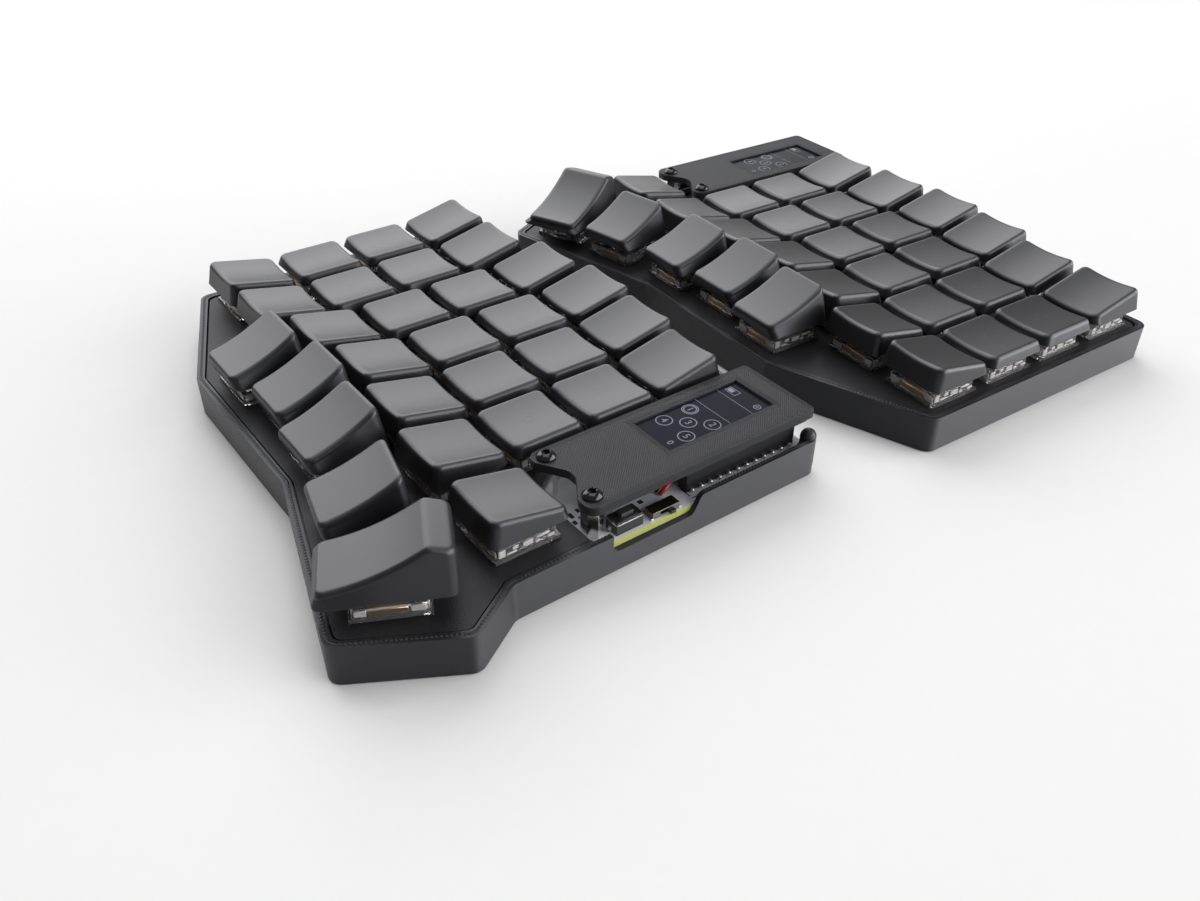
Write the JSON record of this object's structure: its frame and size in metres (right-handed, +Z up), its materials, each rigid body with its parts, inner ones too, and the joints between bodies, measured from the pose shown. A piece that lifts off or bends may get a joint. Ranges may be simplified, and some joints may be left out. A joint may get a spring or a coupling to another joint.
{
  "type": "split keyboard",
  "caption": "Ergonomic split keyboard: two mirrored halves with staggered columns of sculpted keys, thumb keys, and a small display over the controller of each half.",
  "frame": {"origin": "on the table, under the middle of the two halves' common outline", "axes": "+Z up, +Y away from the user, +X to the user's right; the right half stands behind the left one, as pictured"},
  "size_m": [0.155, 0.2312, 0.0241],
  "materials": {
    "case": "fine printed layers",
    "plate": "fine printed layers",
    "board": "white solder mask",
    "cover": "fine printed layers",
    "panel": "dark display glass",
    "controller": "dark solder mask",
    "socket": "satin",
    "header": "moulded",
    "screw": "black oxide",
    "standoff": "polished",
    "housing": "clear",
    "spring": "drawn wire",
    "contact": "bright",
    "battery": "foil pouch",
    "switch_body": "moulded",
    "rubber": "matte",
    "slider": "moulded",
    "button": "moulded",
    "cap": "satin"
  },
  "bodies": {
    "keyboard": {"case_left": "case", "case_right": "case", "switch_plate_left": "plate", "switch_plate_right": "plate", "circuit_board_left": "board", "circuit_board_right": "board", "display_cover_left": "cover", "display_cover_right": "cover", "display_panels": "panel", "controller_boards": "controller", "charging_sockets": "socket", "header_strips": "header", "screws": "screw", "standoffs": "standoff", "switch_housings": "housing", "switch_springs": "spring", "switch_contacts": "contact", "batteries": "battery", "reset_switch_bodies": "switch_body", "power_switch_bodies": "switch_body", "rubber_feet": "rubber"},
    "power_slider_left": {"power_slider_left": "slider"},
    "power_slider_right": {"power_slider_right": "slider"},
    "reset_button_left": {"reset_button_left": "button"},
    "reset_button_right": {"reset_button_right": "button"},
    "right_number_row_keys": {"right_number_row_keys": "cap"},
    "right_top_row_keys": {"right_top_row_keys": "cap"},
    "right_home_row_keys": {"right_home_row_keys": "cap"},
    "right_bottom_row_keys": {"right_bottom_row_keys": "cap"},
    "right_thumb_keys": {"right_thumb_keys": "cap"},
    "left_outer_number_key": {"left_outer_number_key": "cap"},
    "left_outer_top_key": {"left_outer_top_key": "cap"},
    "left_outer_home_key": {"left_outer_home_key": "cap"},
    "left_outer_bottom_key": {"left_outer_bottom_key": "cap"},
    "left_pinky_number_key": {"left_pinky_number_key": "cap"},
    "left_pinky_top_key": {"left_pinky_top_key": "cap"},
    "left_pinky_home_key": {"left_pinky_home_key": "cap"},
    "left_pinky_bottom_key": {"left_pinky_bottom_key": "cap"},
    "left_ring_number_key": {"left_ring_number_key": "cap"},
    "left_ring_top_key": {"left_ring_top_key": "cap"},
    "left_ring_home_key": {"left_ring_home_key": "cap"},
    "left_ring_bottom_key": {"left_ring_bottom_key": "cap"},
    "left_middle_number_key": {"left_middle_number_key": "cap"},
    "left_middle_top_key": {"left_middle_top_key": "cap"},
    "left_middle_home_key": {"left_middle_home_key": "cap"},
    "left_middle_bottom_key": {"left_middle_bottom_key": "cap"},
    "left_index_number_key": {"left_index_number_key": "cap"},
    "left_index_top_key": {"left_index_top_key": "cap"},
    "left_index_home_key": {"left_index_home_key": "cap"},
    "left_index_bottom_key": {"left_index_bottom_key": "cap"},
    "left_inner_number_key": {"left_inner_number_key": "cap"},
    "left_inner_top_key": {"left_inner_top_key": "cap"},
    "left_inner_home_key": {"left_inner_home_key": "cap"},
    "left_inner_bottom_key": {"left_inner_bottom_key": "cap"},
    "left_thumb_key_1": {"left_thumb_key_1": "cap"},
    "left_thumb_key_2": {"left_thumb_key_2": "cap"},
    "left_thumb_key_3": {"left_thumb_key_3": "cap"},
    "left_thumb_key_4": {"left_thumb_key_4": "cap"},
    "left_thumb_key_5": {"left_thumb_key_5": "cap"},
    "left_side_key": {"left_side_key": "cap"}
  },
  "joints": [
    {"name": "power_slide_left", "type": "slide", "parent": "keyboard", "child": "power_slider_left", "axis": [0, 1, 0], "range_m": [-0.002, 0]},
    {"name": "power_slide_right", "type": "slide", "parent": "keyboard", "child": "power_slider_right", "axis": [0.0471, 0.9989, 0], "range_m": [-0.002, 0]},
    {"name": "reset_press_left", "type": "slide", "parent": "keyboard", "child": "reset_button_left", "axis": [0, 0, -1], "range_m": [0, 0.0003], "stiffness_N_per_m": 1200, "springref_m": -0.0008},
    {"name": "reset_press_right", "type": "slide", "parent": "keyboard", "child": "reset_button_right", "axis": [0, 0, -1], "range_m": [0, 0.0003], "stiffness_N_per_m": 1200, "springref_m": -0.0008},
    {"name": "right_number_row_press", "type": "slide", "parent": "keyboard", "child": "right_number_row_keys", "axis": [0, 0, -1], "range_m": [0, 0.003], "stiffness_N_per_m": 80, "springref_m": -0.004},
    {"name": "right_top_row_press", "type": "slide", "parent": "keyboard", "child": "right_top_row_keys", "axis": [0, 0, -1], "range_m": [0, 0.003], "stiffness_N_per_m": 80, "springref_m": -0.004},
    {"name": "right_home_row_press", "type": "slide", "parent": "keyboard", "child": "right_home_row_keys", "axis": [0, 0, -1], "range_m": [0, 0.003], "stiffness_N_per_m": 80, "springref_m": -0.004},
    {"name": "right_bottom_row_press", "type": "slide", "parent": "keyboard", "child": "right_bottom_row_keys", "axis": [0, 0, -1], "range_m": [0, 0.003], "stiffness_N_per_m": 80, "springref_m": -0.004},
    {"name": "right_thumb_press", "type": "slide", "parent": "keyboard", "child": "right_thumb_keys", "axis": [0, 0, -1], "range_m": [0, 0.003], "stiffness_N_per_m": 80, "springref_m": -0.004},
    {"name": "left_outer_number_press", "type": "slide", "parent": "keyboard", "child": "left_outer_number_key", "axis": [0, 0, -1], "range_m": [0, 0.003], "stiffness_N_per_m": 80, "springref_m": -0.004},
    {"name": "left_outer_top_press", "type": "slide", "parent": "keyboard", "child": "left_outer_top_key", "axis": [0, 0, -1], "range_m": [0, 0.003], "stiffness_N_per_m": 80, "springref_m": -0.004},
    {"name": "left_outer_home_press", "type": "slide", "parent": "keyboard", "child": "left_outer_home_key", "axis": [0, 0, -1], "range_m": [0, 0.003], "stiffness_N_per_m": 80, "springref_m": -0.004},
    {"name": "left_outer_bottom_press", "type": "slide", "parent": "keyboard", "child": "left_outer_bottom_key", "axis": [0, 0, -1], "range_m": [0, 0.003], "stiffness_N_per_m": 80, "springref_m": -0.004},
    {"name": "left_pinky_number_press", "type": "slide", "parent": "keyboard", "child": "left_pinky_number_key", "axis": [0, 0, -1], "range_m": [0, 0.003], "stiffness_N_per_m": 80, "springref_m": -0.004},
    {"name": "left_pinky_top_press", "type": "slide", "parent": "keyboard", "child": "left_pinky_top_key", "axis": [0, 0, -1], "range_m": [0, 0.003], "stiffness_N_per_m": 80, "springref_m": -0.004},
    {"name": "left_pinky_home_press", "type": "slide", "parent": "keyboard", "child": "left_pinky_home_key", "axis": [0, 0, -1], "range_m": [0, 0.003], "stiffness_N_per_m": 80, "springref_m": -0.004},
    {"name": "left_pinky_bottom_press", "type": "slide", "parent": "keyboard", "child": "left_pinky_bottom_key", "axis": [0, 0, -1], "range_m": [0, 0.003], "stiffness_N_per_m": 80, "springref_m": -0.004},
    {"name": "left_ring_number_press", "type": "slide", "parent": "keyboard", "child": "left_ring_number_key", "axis": [0, 0, -1], "range_m": [0, 0.003], "stiffness_N_per_m": 80, "springref_m": -0.004},
    {"name": "left_ring_top_press", "type": "slide", "parent": "keyboard", "child": "left_ring_top_key", "axis": [0, 0, -1], "range_m": [0, 0.003], "stiffness_N_per_m": 80, "springref_m": -0.004},
    {"name": "left_ring_home_press", "type": "slide", "parent": "keyboard", "child": "left_ring_home_key", "axis": [0, 0, -1], "range_m": [0, 0.003], "stiffness_N_per_m": 80, "springref_m": -0.004},
    {"name": "left_ring_bottom_press", "type": "slide", "parent": "keyboard", "child": "left_ring_bottom_key", "axis": [0, 0, -1], "range_m": [0, 0.003], "stiffness_N_per_m": 80, "springref_m": -0.004},
    {"name": "left_middle_number_press", "type": "slide", "parent": "keyboard", "child": "left_middle_number_key", "axis": [0, 0, -1], "range_m": [0, 0.003], "stiffness_N_per_m": 80, "springref_m": -0.004},
    {"name": "left_middle_top_press", "type": "slide", "parent": "keyboard", "child": "left_middle_top_key", "axis": [0, 0, -1], "range_m": [0, 0.003], "stiffness_N_per_m": 80, "springref_m": -0.004},
    {"name": "left_middle_home_press", "type": "slide", "parent": "keyboard", "child": "left_middle_home_key", "axis": [0, 0, -1], "range_m": [0, 0.003], "stiffness_N_per_m": 80, "springref_m": -0.004},
    {"name": "left_middle_bottom_press", "type": "slide", "parent": "keyboard", "child": "left_middle_bottom_key", "axis": [0, 0, -1], "range_m": [0, 0.003], "stiffness_N_per_m": 80, "springref_m": -0.004},
    {"name": "left_index_number_press", "type": "slide", "parent": "keyboard", "child": "left_index_number_key", "axis": [0, 0, -1], "range_m": [0, 0.003], "stiffness_N_per_m": 80, "springref_m": -0.004},
    {"name": "left_index_top_press", "type": "slide", "parent": "keyboard", "child": "left_index_top_key", "axis": [0, 0, -1], "range_m": [0, 0.003], "stiffness_N_per_m": 80, "springref_m": -0.004},
    {"name": "left_index_home_press", "type": "slide", "parent": "keyboard", "child": "left_index_home_key", "axis": [0, 0, -1], "range_m": [0, 0.003], "stiffness_N_per_m": 80, "springref_m": -0.004},
    {"name": "left_index_bottom_press", "type": "slide", "parent": "keyboard", "child": "left_index_bottom_key", "axis": [0, 0, -1], "range_m": [0, 0.003], "stiffness_N_per_m": 80, "springref_m": -0.004},
    {"name": "left_inner_number_press", "type": "slide", "parent": "keyboard", "child": "left_inner_number_key", "axis": [0, 0, -1], "range_m": [0, 0.003], "stiffness_N_per_m": 80, "springref_m": -0.004},
    {"name": "left_inner_top_press", "type": "slide", "parent": "keyboard", "child": "left_inner_top_key", "axis": [0, 0, -1], "range_m": [0, 0.003], "stiffness_N_per_m": 80, "springref_m": -0.004},
    {"name": "left_inner_home_press", "type": "slide", "parent": "keyboard", "child": "left_inner_home_key", "axis": [0, 0, -1], "range_m": [0, 0.003], "stiffness_N_per_m": 80, "springref_m": -0.004},
    {"name": "left_inner_bottom_press", "type": "slide", "parent": "keyboard", "child": "left_inner_bottom_key", "axis": [0, 0, -1], "range_m": [0, 0.003], "stiffness_N_per_m": 80, "springref_m": -0.004},
    {"name": "left_thumb_press_1", "type": "slide", "parent": "keyboard", "child": "left_thumb_key_1", "axis": [0, 0, -1], "range_m": [0, 0.003], "stiffness_N_per_m": 80, "springref_m": -0.004},
    {"name": "left_thumb_press_2", "type": "slide", "parent": "keyboard", "child": "left_thumb_key_2", "axis": [0, 0, -1], "range_m": [0, 0.003], "stiffness_N_per_m": 80, "springref_m": -0.004},
    {"name": "left_thumb_press_3", "type": "slide", "parent": "keyboard", "child": "left_thumb_key_3", "axis": [0, 0, -1], "range_m": [0, 0.003], "stiffness_N_per_m": 80, "springref_m": -0.004},
    {"name": "left_thumb_press_4", "type": "slide", "parent": "keyboard", "child": "left_thumb_key_4", "axis": [0, 0, -1], "range_m": [0, 0.003], "stiffness_N_per_m": 80, "springref_m": -0.004},
    {"name": "left_thumb_press_5", "type": "slide", "parent": "keyboard", "child": "left_thumb_key_5", "axis": [0, 0, -1], "range_m": [0, 0.003], "stiffness_N_per_m": 80, "springref_m": -0.004},
    {"name": "left_side_press", "type": "slide", "parent": "keyboard", "child": "left_side_key", "axis": [0, 0, -1], "range_m": [0, 0.003], "stiffness_N_per_m": 80, "springref_m": -0.004}
  ]
}
